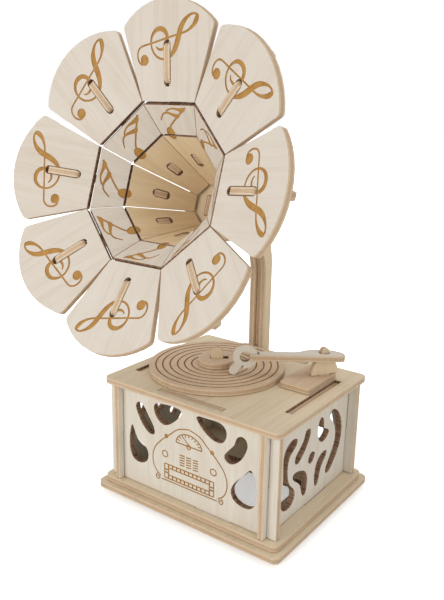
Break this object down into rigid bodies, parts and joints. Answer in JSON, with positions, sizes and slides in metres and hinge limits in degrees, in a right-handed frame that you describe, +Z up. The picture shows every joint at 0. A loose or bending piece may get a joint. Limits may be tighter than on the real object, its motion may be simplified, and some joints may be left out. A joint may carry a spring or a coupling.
{
  "type": "wooden 3d jigsaw model",
  "caption": "Laser-cut plywood jigsaw model of a horn gramophone: slotted pierced cabinet, turning record, swinging tone arm and a flower-shaped panelled horn on a curved neck.",
  "frame": {"origin": "on the surface the model stands on, under the middle of its bounding box; the horn, neck and record all have their centres in the plane x = 0", "axes": "+Z up, -Y the way the horn and the cabinet's front panel face, +X towards the tone arm's side"},
  "size_m": [0.145, 0.126, 0.2305],
  "materials": {
    "panel_ply": "bare basswood plywood, laser-cut, dark burnt edges",
    "deck_ply": "bare basswood plywood seen flat on, laser-cut, dark burnt edges",
    "record_ply": "bare basswood plywood with engraved grooves",
    "horn_ply": "bare basswood plywood with engraved musical signs",
    "horn_throat_ply": "bare basswood plywood, warmer in the throat",
    "frame_ply": "bare basswood plywood seen mostly at its cut edges"
  },
  "bodies": {
    "stand": {"base_lower": "deck_ply", "base_upper": "deck_ply", "panel_front": "panel_ply", "panel_back": "panel_ply", "panel_left": "panel_ply", "panel_right": "panel_ply", "lid": "deck_ply", "arm_platform": "deck_ply", "arm_post": "frame_ply", "neck_left": "frame_ply", "neck_middle": "frame_ply", "neck_right": "frame_ply", "horn_collar": "frame_ply", "horn_petal_1": "horn_ply", "horn_middle_1": "horn_ply", "horn_inner_1": "horn_throat_ply", "horn_rib_1": "frame_ply", "horn_petal_2": "horn_ply", "horn_middle_2": "horn_ply", "horn_inner_2": "horn_throat_ply", "horn_rib_2": "frame_ply", "horn_petal_3": "horn_ply", "horn_middle_3": "horn_ply", "horn_inner_3": "horn_throat_ply", "horn_rib_3": "frame_ply", "horn_petal_4": "horn_ply", "horn_middle_4": "horn_ply", "horn_inner_4": "horn_throat_ply", "horn_rib_4": "frame_ply", "horn_petal_5": "horn_ply", "horn_middle_5": "horn_ply", "horn_inner_5": "horn_throat_ply", "horn_rib_5": "frame_ply", "horn_petal_6": "horn_ply", "horn_middle_6": "horn_ply", "horn_inner_6": "horn_throat_ply", "horn_rib_6": "frame_ply", "horn_petal_7": "horn_ply", "horn_middle_7": "horn_ply", "horn_inner_7": "horn_throat_ply", "horn_rib_7": "frame_ply", "horn_petal_8": "horn_ply", "horn_middle_8": "horn_ply", "horn_inner_8": "horn_throat_ply", "horn_rib_8": "frame_ply"},
    "turntable": {"record": "record_ply", "label": "record_ply", "spindle": "frame_ply"},
    "tone_arm": {"tone_arm": "frame_ply", "sound_head": "frame_ply"}
  },
  "joints": [
    {"name": "record_spin", "type": "hinge", "parent": "stand", "child": "turntable", "pos_m": [0, 0.01906, 0.0623], "axis": [0, 0, 1], "continuous": true},
    {"name": "arm_swing", "type": "hinge", "parent": "stand", "child": "tone_arm", "pos_m": [0.0483, 0.04006, 0.0733], "axis": [0, 0, 1], "range_deg": [-6, 58]}
  ]
}
